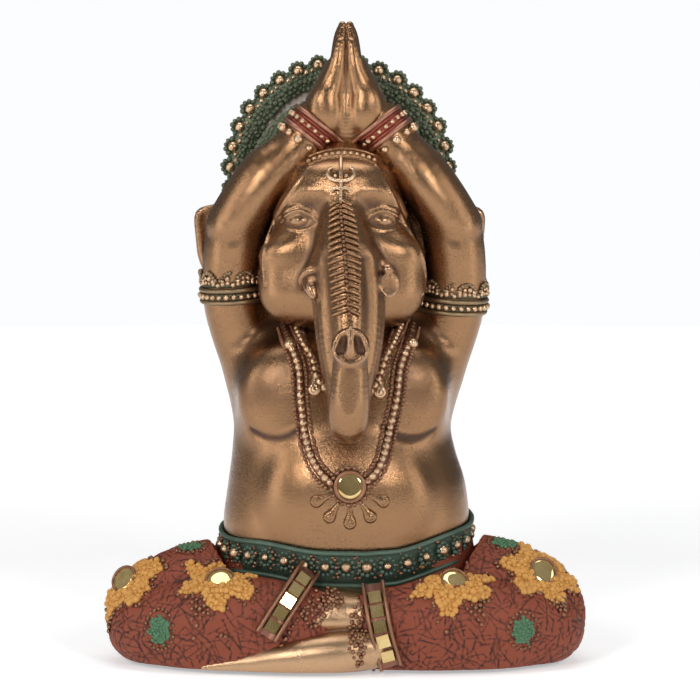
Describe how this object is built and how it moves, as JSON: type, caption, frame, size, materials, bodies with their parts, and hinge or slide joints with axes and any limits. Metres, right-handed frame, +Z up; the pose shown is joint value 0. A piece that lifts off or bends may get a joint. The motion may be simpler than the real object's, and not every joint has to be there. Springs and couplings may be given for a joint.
{
  "type": "ganesha idol",
  "caption": "Seated elephant-headed figurine with hands joined overhead, a beaded halo and belt, and a flowered cloth set with small mirrors; it rests on a felt pad.",
  "frame": {"origin": "centre of the felt pad's underside", "axes": "+Z up through the joined hands, the face towards -Y, the figure's left at +X"},
  "size_m": [0.185, 0.1134, 0.2432],
  "materials": {
    "gold_paint": "metallic antique gold paint, rubbed bright, on cast resin",
    "copper_paint": "metallic copper red paint on cast resin",
    "red_cloth_paint": "satin terracotta red paint on incised cast resin",
    "yellow_paint": "satin ochre paint on beaded cast resin",
    "green_paint": "satin green paint on cast resin",
    "green_beadwork": "dark green and bronze beaded cast resin",
    "belt_enamel": "dark green belt with bright raised beads",
    "mirror": "gold-tinted craft mirror",
    "felt": "dark felt"
  },
  "bodies": {
    "root": {"back_flower": "yellow_paint", "back_flower_mirror": "mirror", "belt": "belt_enamel", "crown": "green_beadwork", "dhoti_seat": "red_cloth_paint", "felt_pad": "felt", "forehead_trident": "copper_paint", "front_foot": "gold_paint", "halo": "green_beadwork", "head": "gold_paint", "inner_necklace": "gold_paint", "left_ankle_band": "copper_paint", "left_ankle_mirror_tile_1": "mirror", "left_ankle_mirror_tile_2": "mirror", "left_ankle_mirror_tile_3": "mirror", "left_ankle_mirror_tile_4": "mirror", "left_ankle_mirror_tile_5": "mirror", "left_arm": "gold_paint", "left_armlet": "gold_paint", "left_back_rosette": "green_paint", "left_bracelet": "copper_paint", "left_ear": "gold_paint", "left_hand": "gold_paint", "left_knee_flower": "yellow_paint", "left_knee_flower_mirror": "mirror", "left_leg": "red_cloth_paint", "left_necklace_strand": "gold_paint", "left_shin_rosette": "green_paint", "left_thigh_flower": "yellow_paint", "left_thigh_flower_mirror": "mirror", "left_thigh_rosette": "green_paint", "left_tusk": "gold_paint", "pendant_mirror": "mirror", "pendant_setting": "gold_paint", "rear_foot": "gold_paint", "right_ankle_band": "copper_paint", "right_ankle_mirror_tile_1": "mirror", "right_ankle_mirror_tile_2": "mirror", "right_ankle_mirror_tile_3": "mirror", "right_ankle_mirror_tile_4": "mirror", "right_ankle_mirror_tile_5": "mirror", "right_arm": "gold_paint", "right_armlet": "gold_paint", "right_back_rosette": "green_paint", "right_bracelet": "copper_paint", "right_ear": "gold_paint", "right_hand": "gold_paint", "right_knee_flower": "yellow_paint", "right_knee_flower_mirror": "mirror", "right_leg": "red_cloth_paint", "right_necklace_strand": "gold_paint", "right_shin_rosette": "green_paint", "right_thigh_flower": "yellow_paint", "right_thigh_flower_mirror": "mirror", "right_thigh_rosette": "green_paint", "right_tusk": "gold_paint", "torso": "gold_paint", "trunk": "gold_paint"}
  },
  "joints": []
}
